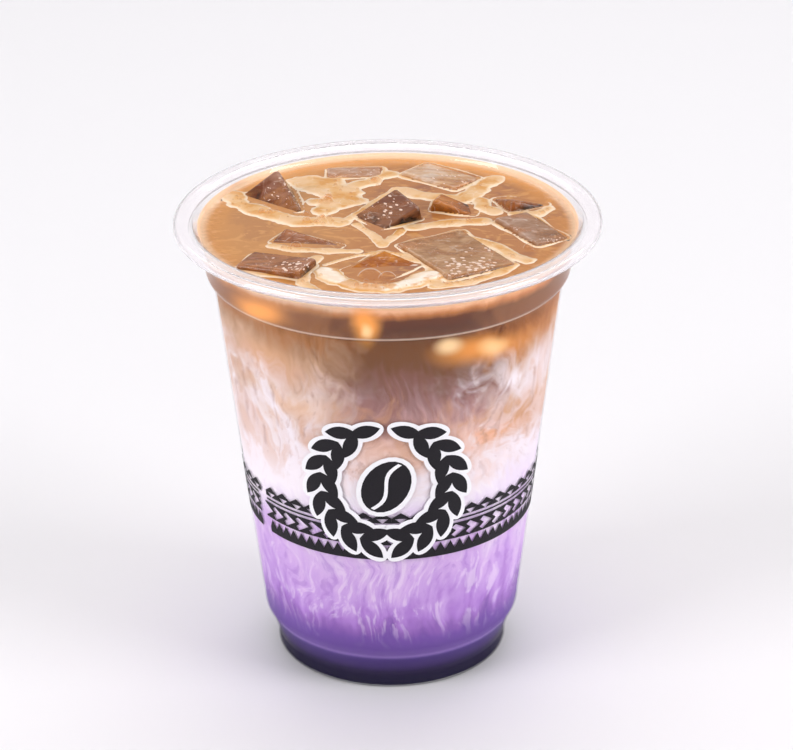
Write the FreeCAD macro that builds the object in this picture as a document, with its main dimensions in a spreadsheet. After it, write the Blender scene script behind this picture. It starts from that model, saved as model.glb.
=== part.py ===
"""Iced ube latte in a clear cold cup.

A thin thermoformed PET cup with a rolled rim holds four settled layers: ube syrup,
ube milk, milk and coffee.  Eleven ice pieces float at the top, tilted as they lie,
and the coffee is cut round them.

Lengths are millimetres and angles are degrees.  The origin is the centre of the ring
that the cup stands on, and +Z is up.
"""
import FreeCAD, Part
import math
import os
import Sketcher

doc = FreeCAD.newDocument("ube_latte")
sheet = doc.addObject("Spreadsheet::Sheet", "sizes")
sheet_row = 0


def size(name, value):
    """Write one driving dimension into the next row of the sheet."""
    global sheet_row
    sheet_row += 1
    sheet.set("A%d" % sheet_row, name)
    sheet.set("B%d" % sheet_row, str(value))
    sheet.setAlias("B%d" % sheet_row, name)


# ---------------------------------------------------------------- driving dimensions
# The cup, from its rim down.  Radii are of the outer skin.
size("cup_height", 109.1)
size("rim_radius", 49.0)
size("rim_depth", 2.4)
size("rim_tail_radius", 45.3)       # inner end of the rolled-under edge
size("lip_radius", 45.9)            # where the flare turns flat into the rim
size("lip_bend", 2.05)
size("flare_top", 108.5)
size("flare_low", 101.6)
size("flare_bend", 9.7)
size("band_radius", 42.05)          # upright band that a lid or the next cup meets
size("band_low", 98.0)
size("ledge_bend", 2.8)             # rounded stacking ledge under the band
size("ledge_radius", 40.4)
size("ledge_height", 95.4)
size("waist_radius", 30.5)          # foot of the tapered body
size("waist_height", 13.0)
size("shoulder_bend", 5.0)
size("neck_radius", 29.2)           # crease between the shoulder and the foot
size("neck_height", 9.3)
size("foot_radius", 27.4)
size("foot_height", 3.8)
size("foot_corner", 1.3)
size("stand_radius", 24.4)          # inner edge of the standing ring
size("panel_radius", 22.4)          # pushed-up base panel
size("panel_rise", 2.0)
size("wall", 0.5)

# Levels between the drink's layers, and its surface.
size("milk_low", 50.0)
size("coffee_low", 72.0)
size("coffee_level", 106.4)

# Ice: draft of the tray's sides, and the radius that melting leaves on the edges.
size("ice_draft", 5.0)
size("ice_melt", 0.9)

# Each ice piece: middle of its top face as x, y and rise above the coffee,
# length, width and depth, then yaw, pitch and roll.
ICE_KEYS = ("x", "y", "rise", "length", "width", "depth", "yaw", "pitch", "roll")
ICE = {
    "ice_1": (-27.8, 13.7, -0.4, 15.4, 12.4, 12.0, -65.0, 22.0, 39.0),
    "ice_2": (-7.7, 32.6, 0.4, 13.5, 6.5, 8.0, 4.0, 1.0, 3.0),
    "ice_3": (12.8, 29.6, 0.6, 16.5, 11.0, 10.0, -37.5, 1.5, -5.0),
    "ice_4": (-0.3, 3.7, 2.0, 12.4, 11.0, 14.0, 28.0, -23.0, 6.0),
    "ice_5": (16.4, 9.6, 0.9, 11.3, 7.0, 9.0, -18.5, 17.5, -8.0),
    "ice_6": (31.2, 13.6, -0.2, 10.8, 9.8, 9.0, 22.0, 19.0, -20.0),
    "ice_7": (32.8, -4.1, 0.7, 17.8, 9.5, 10.0, -58.0, 2.5, -3.0),
    "ice_8": (15.0, -18.3, 0.7, 24.0, 17.5, 16.0, -61.0, -1.0, -1.0),
    "ice_9": (-18.2, -11.0, 0.0, 16.0, 7.4, 9.0, -30.0, 5.0, 12.0),
    "ice_10": (-24.8, -24.0, 1.5, 16.0, 9.5, 10.0, -24.0, -3.0, -2.0),
    "ice_11": (-2.6, -26.3, -0.1, 18.2, 12.0, 12.0, 48.5, -3.0, 3.0),
}
for piece, values in ICE.items():
    for key, value in zip(ICE_KEYS, values):
        size("%s_%s" % (piece, key), value)
doc.recompute()


# ------------------------------------------------------------------ turned outlines
def turn_centre(start, end, bend):
    """Centre of the short arc from start to end; a positive bend turns left."""
    chord_x, chord_y = end[0] - start[0], end[1] - start[1]
    chord = math.hypot(chord_x, chord_y)
    reach = math.sqrt(max(bend * bend - chord * chord / 4, 0.0)) * math.copysign(1, bend)
    return ((start[0] + end[0]) / 2 - chord_y / chord * reach,
            (start[1] + end[1]) / 2 + chord_x / chord * reach)


def turned_body(name, outline):
    """A body of revolution about Z.

    outline is a closed run of (radius, height, bend) corners, each an expression of the
    sheet's cells.  bend is the radius of the arc that leaves the corner, with a minus
    sign where it turns right, or an empty text where a straight line leaves it.
    """
    body = doc.addObject("PartDesign::Body", name)
    sketch = body.newObject("Sketcher::SketchObject", name + "_outline")
    planes = [item for item in body.Origin.OriginFeatures if item.Role == "XZ_Plane"]
    sketch.AttachmentSupport = [(planes[0], "")]
    sketch.MapMode = "FlatFace"

    def number(expression):
        return float(sketch.evalExpression(expression))

    corners = [(number(radius), number(height)) for radius, height, bend in outline]
    ends = []
    for index, (radius, height, bend) in enumerate(outline):
        start = corners[index]
        end = corners[(index + 1) % len(corners)]
        if not bend:
            line = Part.LineSegment(FreeCAD.Vector(*start, 0), FreeCAD.Vector(*end, 0))
            ends.append((sketch.addGeometry(line, False), 1, 2))
            continue
        centre = turn_centre(start, end, number(bend))
        angles = [math.atan2(y - centre[1], x - centre[0]) for x, y in (start, end)]
        first, last = (1, 2) if number(bend) > 0 else (2, 1)
        circle = Part.Circle(FreeCAD.Vector(*centre, 0), FreeCAD.Vector(0, 0, 1),
                             abs(number(bend)))
        arc = Part.ArcOfCircle(circle, angles[first - 1], angles[last - 1])
        ends.append((sketch.addGeometry(arc, False), first, last))

    def bind(constraint, expression):
        index = sketch.addConstraint(constraint)
        sketch.setExpression("Constraints[%d]" % index, expression)

    for index, (radius, height, bend) in enumerate(outline):
        side, first, last = ends[index]
        after, after_first, after_last = ends[(index + 1) % len(ends)]
        x, y = corners[index]
        sketch.addConstraint(Sketcher.Constraint("Coincident", side, last, after, after_first))
        if radius == "0":
            sketch.addConstraint(Sketcher.Constraint("PointOnObject", side, first, -2))
        else:
            bind(Sketcher.Constraint("DistanceX", -1, 1, side, first, x), radius)
        if height == "0":
            sketch.addConstraint(Sketcher.Constraint("PointOnObject", side, first, -1))
        else:
            bind(Sketcher.Constraint("DistanceY", -1, 1, side, first, y), height)
        if bend:
            bind(Sketcher.Constraint("Radius", side, abs(number(bend))), "abs(%s)" % bend)

    turn = body.newObject("PartDesign::Revolution", name + "_turn")
    turn.Profile = sketch
    turn.ReferenceAxis = (sketch, ["V_Axis"])
    turn.Angle = 360
    return body


def cell(name):
    return "sizes." + name


def inner(name):
    """Radius of the inner skin at a named outer radius."""
    return "(sizes.%s - sizes.wall)" % name


def body_inside(height):
    """Radius of the tapered body's inner skin at a height."""
    lean = "(sizes.ledge_radius - sizes.waist_radius) / (sizes.ledge_height - sizes.waist_height)"
    return "(%s + (%s - sizes.waist_height) * %s)" % (inner("waist_radius"), height, lean)


def flare_inside(height):
    """Radius of the flare's inner skin at a height."""
    drop = "(%s - sizes.flare_low)" % height
    return "(%s + sizes.flare_bend - sqrt(sizes.flare_bend^2 - %s^2))" % (
        inner("band_radius"), drop)


# --------------------------------------------------------------------------- the cup
# Outer skin from the base panel up to the lip, round the rolled rim and its tail,
# and back down the inner skin.
lip_inside = flare_inside(cell("flare_top"))
skew = "(sizes.wall / sqrt(2))"
panel_inside = "(sizes.panel_radius + %s)" % skew
stand_inside = "(sizes.stand_radius + %s)" % skew
panel_top = "(sizes.panel_rise + sizes.wall)"
foot_flat = "(sizes.foot_radius - sizes.foot_corner)"
roll_radius = "(sizes.rim_depth / 2)"
roll_start = "(sizes.rim_radius - %s)" % roll_radius
roll_middle = "(sizes.cup_height - %s)" % roll_radius
roll_low = "(sizes.cup_height - sizes.rim_depth)"
roll_inside = "(%s - sizes.wall)" % roll_radius

cup = turned_body("cup", [
    ("0", cell("panel_rise"), ""),
    (cell("panel_radius"), cell("panel_rise"), ""),
    (cell("stand_radius"), "0", ""),
    (foot_flat, "0", cell("foot_corner")),
    (cell("foot_radius"), cell("foot_corner"), ""),
    (cell("foot_radius"), cell("foot_height"), ""),
    (cell("neck_radius"), cell("neck_height"), cell("shoulder_bend")),
    (cell("waist_radius"), cell("waist_height"), ""),
    (cell("ledge_radius"), cell("ledge_height"), cell("ledge_bend")),
    (cell("band_radius"), cell("band_low"), ""),
    (cell("band_radius"), cell("flare_low"), "-" + cell("flare_bend")),
    ("(%s + %s)" % (lip_inside, skew), "(sizes.flare_top - %s)" % skew,
     "-(sizes.lip_bend - sizes.wall)"),
    (cell("lip_radius"), "(sizes.cup_height - sizes.wall)", ""),
    (roll_start, "(sizes.cup_height - sizes.wall)", "-" + roll_inside),
    (inner("rim_radius"), roll_middle, "-" + roll_inside),
    (roll_start, "(%s + sizes.wall)" % roll_low, ""),
    (cell("rim_tail_radius"), "(%s + sizes.wall)" % roll_low, ""),
    (cell("rim_tail_radius"), roll_low, ""),
    (roll_start, roll_low, roll_radius),
    (cell("rim_radius"), roll_middle, roll_radius),
    (roll_start, cell("cup_height"), ""),
    (cell("lip_radius"), cell("cup_height"), cell("lip_bend")),
    (lip_inside, cell("flare_top"), cell("flare_bend")),
    (inner("band_radius"), cell("flare_low"), ""),
    (inner("band_radius"), cell("band_low"), "-" + cell("ledge_bend")),
    (inner("ledge_radius"), cell("ledge_height"), ""),
    (inner("waist_radius"), cell("waist_height"), "-" + cell("shoulder_bend")),
    (inner("neck_radius"), cell("neck_height"), ""),
    (inner("foot_radius"), cell("foot_height"), ""),
    (inner("foot_radius"), cell("foot_corner"), "-(sizes.foot_corner - sizes.wall)"),
    (foot_flat, cell("wall"), ""),
    (stand_inside, cell("wall"), ""),
    (panel_inside, panel_top, ""),
    ("0", panel_top, ""),
])

# ------------------------------------------------------------------- the settled drink
# Each layer fills the cup out to its inner skin and rests flat on the one below.
syrup = turned_body("ube_syrup", [
    ("0", panel_top, ""),
    (panel_inside, panel_top, ""),
    (stand_inside, cell("wall"), ""),
    (foot_flat, cell("wall"), "(sizes.foot_corner - sizes.wall)"),
    (inner("foot_radius"), cell("foot_corner"), ""),
    (inner("foot_radius"), cell("foot_height"), ""),
    (inner("neck_radius"), cell("neck_height"), ""),
    ("0", cell("neck_height"), ""),
])

ube_milk = turned_body("ube_milk", [
    ("0", cell("neck_height"), ""),
    (inner("neck_radius"), cell("neck_height"), cell("shoulder_bend")),
    (inner("waist_radius"), cell("waist_height"), ""),
    (body_inside(cell("milk_low")), cell("milk_low"), ""),
    ("0", cell("milk_low"), ""),
])

milk = turned_body("milk", [
    ("0", cell("milk_low"), ""),
    (body_inside(cell("milk_low")), cell("milk_low"), ""),
    (body_inside(cell("coffee_low")), cell("coffee_low"), ""),
    ("0", cell("coffee_low"), ""),
])

coffee_whole = turned_body("coffee_whole", [
    ("0", cell("coffee_low"), ""),
    (body_inside(cell("coffee_low")), cell("coffee_low"), ""),
    (inner("ledge_radius"), cell("ledge_height"), cell("ledge_bend")),
    (inner("band_radius"), cell("band_low"), ""),
    (inner("band_radius"), cell("flare_low"), "-" + cell("flare_bend")),
    (flare_inside(cell("coffee_level")), cell("coffee_level"), ""),
    ("0", cell("coffee_level"), ""),
])


# -------------------------------------------------------------------------- the ice
def ice_block(name):
    """A tray-moulded block hung from the middle of its top face, its edges melted round."""
    body = doc.addObject("PartDesign::Body", name)
    sketch = body.newObject("Sketcher::SketchObject", name + "_top")
    planes = [item for item in body.Origin.OriginFeatures if item.Role == "XY_Plane"]
    sketch.AttachmentSupport = [(planes[0], "")]
    sketch.MapMode = "FlatFace"
    half_x = float(sketch.evalExpression("sizes.%s_length / 2" % name))
    half_y = float(sketch.evalExpression("sizes.%s_width / 2" % name))
    corners = [FreeCAD.Vector(sx * half_x, sy * half_y, 0)
               for sx, sy in ((-1, -1), (1, -1), (1, 1), (-1, 1))]
    for index in range(4):
        sketch.addGeometry(Part.LineSegment(corners[index], corners[(index + 1) % 4]), False)
    for index in range(4):
        following = (index + 1) % 4
        sketch.addConstraint(Sketcher.Constraint("Coincident", index, 2, following, 1))
        direction = "Horizontal" if index % 2 == 0 else "Vertical"
        sketch.addConstraint(Sketcher.Constraint(direction, index))
    sketch.addConstraint(Sketcher.Constraint("Symmetric", 0, 1, 2, 1, -1, 1))
    for constraint, cell_name in (
            (Sketcher.Constraint("DistanceX", 0, 1, 0, 2, 2 * half_x), "length"),
            (Sketcher.Constraint("DistanceY", 1, 1, 1, 2, 2 * half_y), "width")):
        index = sketch.addConstraint(constraint)
        sketch.setExpression("Constraints[%d]" % index, "sizes.%s_%s" % (name, cell_name))

    pad = body.newObject("PartDesign::Pad", name + "_block")
    pad.Profile = sketch
    pad.Reversed = True
    pad.setExpression("Length", "sizes.%s_depth" % name)
    pad.setExpression("TaperAngle", "-sizes.ice_draft")
    doc.recompute()
    melted = body.newObject("PartDesign::Fillet", name + "_melted")
    melted.Base = (pad, ["Edge%d" % (n + 1) for n in range(len(pad.Shape.Edges))])
    melted.setExpression("Radius", "sizes.ice_melt")
    body.Tip = melted

    at = tuple("sizes.%s_%s" % (name, key) for key in ICE_KEYS)
    body.setExpression("Placement.Base.x", at[0])
    body.setExpression("Placement.Base.y", at[1])
    body.setExpression("Placement.Base.z", "sizes.coffee_level + " + at[2])
    body.setExpression("Placement.Rotation", "rotation(%s; %s; %s)" % at[6:])
    return body


ice_pieces = [ice_block(name) for name in ICE]

# The coffee closes round every ice piece.
ice_pack = doc.addObject("Part::MultiFuse", "ice_pack")
ice_pack.Shapes = ice_pieces
coffee = doc.addObject("Part::Cut", "coffee")
coffee.Base = coffee_whole
coffee.Tool = ice_pack
doc.recompute()

# -------------------------------------------------------------------- check and write
for item in doc.Objects:
    if "Invalid" in item.State or "Error" in item.State:
        raise RuntimeError("%s failed to build: %s" % (item.Name, item.State))

parts = [cup, syrup, ube_milk, milk, coffee] + ice_pieces
os.makedirs("parts", exist_ok=True)
for part in parts:
    part.Label = part.Name
    if part.Shape.isNull() or not part.Shape.isValid():
        raise RuntimeError("%s has no valid shape" % part.Name)
for part in parts:
    part.Shape.exportStep("parts/%s.step" % part.Label)
    print("%-10s %9.0f mm3, %d solid" % (part.Label, part.Shape.Volume, len(part.Shape.Solids)))
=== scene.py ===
"""Looks of an iced ube latte in a clear cold cup: layered drink, floating ice and crema."""
import bmesh
import bpy
import math
import random
from mathutils import Matrix, Vector, noise
from mathutils.bvhtree import BVHTree


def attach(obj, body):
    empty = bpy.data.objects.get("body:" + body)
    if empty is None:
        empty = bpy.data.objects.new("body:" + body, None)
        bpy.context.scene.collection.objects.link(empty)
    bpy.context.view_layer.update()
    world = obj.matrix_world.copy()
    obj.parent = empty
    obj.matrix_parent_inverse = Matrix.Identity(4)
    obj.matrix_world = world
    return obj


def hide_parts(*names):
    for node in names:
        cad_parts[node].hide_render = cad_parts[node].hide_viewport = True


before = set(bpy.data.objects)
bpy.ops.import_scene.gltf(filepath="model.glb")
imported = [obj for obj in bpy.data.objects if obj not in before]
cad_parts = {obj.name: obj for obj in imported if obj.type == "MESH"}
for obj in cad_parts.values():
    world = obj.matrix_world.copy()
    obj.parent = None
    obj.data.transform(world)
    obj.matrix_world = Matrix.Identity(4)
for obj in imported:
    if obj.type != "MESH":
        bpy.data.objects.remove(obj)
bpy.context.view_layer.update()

# ---------------------------------------------------------------------------- camera
# A long lens looks down on the cup from the front, level with nothing but the floor.
MM = 0.001
scene = bpy.context.scene
camera = bpy.data.objects.new("camera", bpy.data.cameras.new("camera"))
scene.collection.objects.link(camera)
camera.data.lens = 141.35
camera.data.sensor_width = 36.0
camera.data.clip_start = 0.01
camera_pitch, camera_yaw, camera_roll = 25.056, 0.147, 0.501
camera.matrix_world = (
    Matrix.Translation(Vector((0.0, -658.8, 376.5)) * MM)
    @ Matrix.Rotation(-math.radians(camera_yaw), 4, "Z")
    @ Matrix.Rotation(math.radians(90.0 - camera_pitch), 4, "X")
    @ Matrix.Rotation(-math.radians(camera_roll), 4, "Z")
)
scene.camera = camera
scene.view_settings.view_transform = "Standard"
cycles = scene.cycles       # light passes many clear skins
cycles.max_bounces = cycles.transmission_bounces = cycles.transparent_max_bounces = 32


# --------------------------------------------------------------------- floor and lamps
# A plain laminate table top, pale grey, that the cup stands on by its own weight, and
# large soft boxes on stands, as in a product studio.
def colour(code):
    """Linear colour of an sRGB hex code."""
    linear = []
    for n in (1, 3, 5):
        part = int(code[n:n + 2], 16) / 255
        linear.append(part / 12.92 if part <= 0.04045 else ((part + 0.055) / 1.055) ** 2.4)
    return (*linear, 1.0)


def adder(tree):
    """Clear a node tree and give the function that adds its nodes."""
    tree.nodes.clear()

    def add(kind, inputs=(), out=0, stops=(), **settings):
        """Add one node, link or set its inputs and ramp stops, and give its output."""
        node = tree.nodes.new("ShaderNode" + kind)
        for key, value in settings.items():
            setattr(node, key, value)
        for key, value in dict(inputs).items():
            if isinstance(value, bpy.types.NodeSocket):
                tree.links.new(value, node.inputs[key])
            else:
                node.inputs[key].default_value = value
        while stops and len(node.color_ramp.elements) < len(stops):
            node.color_ramp.elements.new(1.0)
        for n, (at, code) in enumerate(stops):
            stop = node.color_ramp.elements[n]
            stop.position, stop.color = at, colour(code)
        return node.outputs[out] if len(node.outputs) else node

    return add


def material(name):
    """An empty node material and the function that adds its nodes."""
    made = bpy.data.materials.new(name)
    made.use_nodes = True
    return made, adder(made.node_tree)


# Matt laminate, pale and slightly cool: it takes a soft shadow and no reflection.
floor_mat, add = material("matt_table_top")
surface = add("BsdfPrincipled", {"Base Color": colour("#f0eef1"), "Roughness": 0.7})
add("OutputMaterial", {"Surface": surface})
bm = bmesh.new()
bmesh.ops.create_grid(bm, x_segments=2, y_segments=2, size=3.0)
mesh = bpy.data.meshes.new("floor")
bm.to_mesh(mesh)
bm.free()
floor = bpy.data.objects.new("floor", mesh)
scene.collection.objects.link(floor)
floor.data.materials.append(floor_mat)

lamps_look_at = (0.0, 0.0, 0.06)
LAMPS = (
    # name, place, width, height and power; each looks at the middle of the cup
    ("soft_box_above", (0.0, 0.35, 1.15), 1.0, 0.8, 3.6),
    ("soft_box_behind", (0.2, 1.05, 0.9), 1.5, 0.16, 3.0),
    ("soft_box_left", (-1.15, -0.6, 0.65), 0.7, 0.9, 11.0),
    ("soft_box_right", (1.2, -0.5, 0.6), 0.7, 0.9, 11.5),
)
for name, place, width, height, power in LAMPS:
    lamp = bpy.data.lights.new(name, "AREA")
    lamp.shape, lamp.size, lamp.size_y, lamp.energy = "RECTANGLE", width, height, power
    holder = bpy.data.objects.new(name, lamp)
    holder.location = place
    aim = Vector(lamps_look_at) - Vector(place)
    holder.rotation_euler = aim.to_track_quat("-Z", "Y").to_euler()
    scene.collection.objects.link(holder)

# Pale walls all round and a bright ceiling: dim enough to light the cup softly, white
# where they are seen, and darker in gloss, as the dark side of a studio is.
world = bpy.data.worlds.new("studio")
world.use_nodes = True
add = adder(world.node_tree)
up = add("SeparateXYZ", {0: add("TexCoord", out="Generated")}, out="Z")
in_gloss = add("MapRange", {0: up, 1: 0.15, 2: 0.6, 3: 0.3, 4: 1.0})
lighting = add("Mix", {0: add("LightPath", out="Is Glossy Ray"), 2: 0.45, 3: in_gloss})
seen = add("Math", {0: add("LightPath", out="Is Camera Ray"),
                    1: add("LightPath", out="Is Transmission Ray")}, operation="MAXIMUM")
strength = add("Mix", {0: seen, 2: lighting, 3: 0.93})
surface = add("Background", {"Color": colour("#f6f5f6"), "Strength": strength})
add("OutputWorld", {"Surface": surface})
scene.world = world

# ------------------------------------------------------------------------------- cup
# A cold cup thermoformed from clear PET sheet: pushed-up base, foot and neck crease,
# tapered body, stacking ledge, upright band, flare, and an edge rolled under.
cup_height, rim_radius, rim_depth, rim_tail_radius = 109.1, 49.0, 2.4, 45.3
lip_radius, lip_bend, flare_top, flare_low, flare_bend = 45.9, 2.05, 108.5, 101.6, 9.7
band_radius, band_low, ledge_bend, ledge_radius, ledge_height = 42.05, 98.0, 2.8, 40.4, 95.4
waist_radius, waist_height, shoulder_bend = 30.5, 13.0, 5.0
neck_radius, neck_height, foot_radius, foot_height, foot_corner = 29.2, 9.3, 27.4, 3.8, 1.3
stand_radius, panel_radius, panel_rise, wall = 24.4, 22.4, 2.0, 0.5
TURN_STEPS = 240


def rounded(corners):
    """Points of an outline of (radius, height, bend) corners; + bend turns left."""
    points = []
    for (x, y, bend), (next_x, next_y, _) in zip(corners, corners[1:] + corners[:1]):
        points.append((x, y))
        if not bend:
            continue
        chord = math.hypot(next_x - x, next_y - y)
        reach = math.copysign(math.sqrt(max(bend * bend - chord * chord / 4, 0.0)), bend)
        centre_x = (x + next_x) / 2 - (next_y - y) / chord * reach
        centre_y = (y + next_y) / 2 + (next_x - x) / chord * reach
        first = math.atan2(y - centre_y, x - centre_x)
        sweep = (math.atan2(next_y - centre_y, next_x - centre_x) - first) % (2 * math.pi)
        sweep -= 2 * math.pi if bend < 0 else 0.0
        count = max(3, math.ceil(abs(sweep) / math.radians(9.0)))
        for step in range(1, count):
            angle = first + sweep * step / count
            points.append((centre_x + abs(bend) * math.cos(angle),
                           centre_y + abs(bend) * math.sin(angle)))
    return points


def turned(corners, soft=0.0):
    """Spin an outline whose two ends are on the axis; soft rounds its sharp corners."""
    bm = bmesh.new()
    points = rounded(corners)
    verts = [bm.verts.new((x * MM, 0.0, y * MM)) for x, y in points]
    for pair in zip(verts, verts[1:]):
        bm.edges.new(pair)
    if soft:
        sharp = [vert for vert in verts[1:-1] if vert.calc_edge_angle() > math.radians(12.0)]
        bmesh.ops.bevel(bm, geom=sharp, offset=soft * MM, offset_type="OFFSET",
                        affect="VERTICES", segments=3, profile=0.5, material=-1,
                        clamp_overlap=True)
    bmesh.ops.spin(bm, geom=bm.verts[:] + bm.edges[:], cent=(0, 0, 0), axis=(0, 0, 1),
                   angle=2 * math.pi, steps=TURN_STEPS, use_merge=True)
    bmesh.ops.remove_doubles(bm, verts=bm.verts, dist=1e-7)
    bmesh.ops.recalc_face_normals(bm, faces=bm.faces)
    if bm.calc_volume(signed=True) < 0:
        bmesh.ops.reverse_faces(bm, faces=bm.faces)
    return bm


def smoothed(mesh, crease=35.0):
    """Shade a mesh smooth between its creases, by its own faces alone."""
    if "custom_normal" in mesh.attributes:
        mesh.attributes.remove(mesh.attributes["custom_normal"])
    mesh.shade_smooth()
    mesh.set_sharp_from_angle(angle=math.radians(crease))


def piece(name, bm, finish, nodes=(), crease=35.0):
    """Turn a bmesh into a piece of the cup's body that stands for CAD nodes."""
    mesh = bpy.data.meshes.new(name)
    bm.to_mesh(mesh)
    bm.free()
    smoothed(mesh, crease)
    made = bpy.data.objects.new(name, mesh)
    scene.collection.objects.link(made)
    mesh.materials.append(finish)
    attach(made, "root")
    if nodes:
        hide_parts(*nodes)
    return made


def lamps_shine_through(body, code):
    """Finish a material whose shadow is only a faint tint."""
    lamp_light = add("BsdfTransparent", {"Color": colour(code)})
    shadow_ray = add("LightPath", out="Is Shadow Ray")
    add("OutputMaterial", {"Surface": add("MixShader", {0: shadow_ray, 1: body, 2: lamp_light})})


def flare_inside(height):
    """Radius of the flare's inner skin at a height."""
    return band_radius - wall + flare_bend - math.sqrt(flare_bend ** 2 - (height - flare_low) ** 2)


roll_radius = rim_depth / 2
roll_start = rim_radius - roll_radius
roll_middle = cup_height - roll_radius
roll_low = cup_height - rim_depth
skew = wall / math.sqrt(2)
foot_flat = foot_radius - foot_corner
panel_top = panel_rise + wall
cup_outline = [
    (0.0, panel_rise, 0), (panel_radius, panel_rise, 0), (stand_radius, 0.0, 0),
    (foot_flat, 0.0, foot_corner), (foot_radius, foot_corner, 0), (foot_radius, foot_height, 0),
    (neck_radius, neck_height, shoulder_bend), (waist_radius, waist_height, 0),
    (ledge_radius, ledge_height, ledge_bend), (band_radius, band_low, 0),
    (band_radius, flare_low, -flare_bend),
    (flare_inside(flare_top) + skew, flare_top - skew, -(lip_bend - wall)),
    (lip_radius, cup_height - wall, 0), (roll_start, cup_height - wall, -(roll_radius - wall)),
    (rim_radius - wall, roll_middle, -(roll_radius - wall)), (roll_start, roll_low + wall, 0),
    (rim_tail_radius, roll_low + wall, 0), (rim_tail_radius, roll_low, 0),
    (roll_start, roll_low, roll_radius), (rim_radius, roll_middle, roll_radius),
    (roll_start, cup_height, 0), (lip_radius, cup_height, lip_bend),
    (flare_inside(flare_top), flare_top, flare_bend), (band_radius - wall, flare_low, 0),
    (band_radius - wall, band_low, -ledge_bend), (ledge_radius - wall, ledge_height, 0),
    (waist_radius - wall, waist_height, -shoulder_bend), (neck_radius - wall, neck_height, 0),
    (foot_radius - wall, foot_height, 0), (foot_radius - wall, foot_corner, -(foot_corner - wall)),
    (foot_flat, wall, 0), (stand_radius + skew, wall, 0), (panel_radius + skew, panel_top, 0),
    (0.0, panel_top, 0),
]

# Clear PET: colourless and glossy, with lamps shining through it onto the drink. Where
# the drink wets it, it bends light less; near its edge a faint white haze is a painted sheen.
dry_height, wet_height, wet_share = 98.0, 94.0, 0.6
haze_low, haze_high, haze_share = 102.0, 107.0, 0.1
pet, add = material("clear_pet")
height = add("SeparateXYZ", {0: add("TexCoord", out="Object")}, out="Z")
clear = add("BsdfGlass", {"Color": colour("#fdfcfd"), "Roughness": 0.0, "IOR": 1.575})
plain = add("BsdfTransparent", {"Color": colour("#fcfcfd")})
wet = add("MapRange", {0: height, 1: dry_height * MM, 2: wet_height * MM, 3: 0.0, 4: wet_share})
wetted = add("MixShader", {0: wet, 1: clear, 2: plain})
# painted sheen: a faint white haze that whitens the rim
white_sheen = add("BsdfPrincipled", {"Base Color": colour("#fbf7f7"), "Roughness": 0.35})
haze = add("MapRange", {0: height, 1: haze_low * MM, 2: haze_high * MM, 3: 0.0, 4: haze_share})
lamps_shine_through(add("MixShader", {0: haze, 1: wetted, 2: white_sheen}), "#f4f5f6")
wall_piece = piece("cup_wall", turned(cup_outline, soft=0.2), pet, ["cup"])
wall_piece.modifiers.new("flat_faces_stay_flat", "WEIGHTED_NORMAL").keep_sharp = True

# ------------------------------------------------------------------ the settled drink
# Ube syrup, ube milk, milk and coffee, poured in that order. They lie on each other and
# run together in clouds and trails, so one liquid finish carries on through all four.
milk_low, coffee_low, coffee_level = 50.0, 72.0, 106.4
reach = 0.12            # the drink is drawn this far into the cup's wall


def body_inside(height):
    """Radius of the tapered body's inner skin at a height."""
    lean = (ledge_radius - waist_radius) / (ledge_height - waist_height)
    return waist_radius - wall + (height - waist_height) * lean


def place_in_mm():
    """Each spot's place in the part, in millimetres."""
    spot = add("TexCoord", out="Object")
    return add("VectorMath", {0: spot, "Scale": 1 / MM}, operation="SCALE")


def share_of(*steps):
    """Product of smooth steps of values, each (value, low, high, least, most)."""
    share = 1.0
    for value, low, high, least, most in steps:
        step = add("MapRange", {0: value, 1: low, 2: high, 3: least, 4: most},
                   interpolation_type="SMOOTHSTEP")
        share = add("Math", {0: share, 1: step}, operation="MULTIPLY")
    return share


def laid_over(shade, layers):
    """Lay colours over a shade, each as (hex code, smooth steps that give its share)."""
    for code, *steps in layers:
        shade = add("Mix", {0: share_of(*steps), 6: shade, 7: colour(code)},
                    out=2, data_type="RGBA")
    return shade


def sum_of(*terms):
    """Sum of terms, each a value and the factors that it is multiplied by."""
    total = 0.0
    for value, *factors, last in terms:
        for factor in factors:
            value = add("Math", {0: value, 1: factor}, operation="MULTIPLY")
        total = add("Math", {0: value, 1: last, 2: total}, operation="MULTIPLY_ADD")
    return total


# Milk, coffee and ube touch the cup's wall, so they have no gloss of their own, only
# colours that run into each other. Slow swirls about 30 mm across bend everything, and
# trails about 3 mm wide hang down.
drink, add = material("milk_coffee_and_ube")
spot = place_in_mm()
across, back, height = (add("SeparateXYZ", {0: spot}, out=axis) for axis in "XYZ")
swirl = add("TexNoise", {0: spot, "Scale": 0.035, "Detail": 3.0, "Distortion": 0.4}, out=1)
bend = add("VectorMath", {0: swirl, 1: (0.5, 0.5, 0.5)}, operation="SUBTRACT")
bent = add("VectorMath", {0: bend, 1: (30.0, 30.0, 30.0), 2: spot}, operation="MULTIPLY_ADD")
bent_half = add("VectorMath", {0: bent, 1: (1.0, 1.0, 0.5)}, operation="MULTIPLY")
bent_low = add("VectorMath", {0: bent, 1: (1.0, 1.0, 0.7)}, operation="MULTIPLY")
bent_tall = add("VectorMath", {0: bent, 1: (1.0, 1.0, 0.12)}, operation="MULTIPLY")
bent_long = add("VectorMath", {0: bent, 1: (1.0, 1.0, 0.16)}, operation="MULTIPLY")
tall = add("VectorMath", {0: spot, 1: (1.0, 1.0, 0.12)}, operation="MULTIPLY")
billow = add("TexNoise", {0: bent, "Scale": 0.055, "Detail": 6.0, "Roughness": 0.55})
wisp = add("TexNoise", {0: bent_half, "Scale": 0.16, "Detail": 5.0, "Distortion": 1.2})
trail = add("TexNoise", {0: tall, "Scale": 0.2, "Detail": 2.5})
thread = add("TexNoise", {0: bent_tall, "Scale": 0.55, "Detail": 2.5})
smoke = add("TexNoise", {0: bent_low, "Scale": 0.09, "Detail": 6.0, "Distortion": 1.0})
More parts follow.
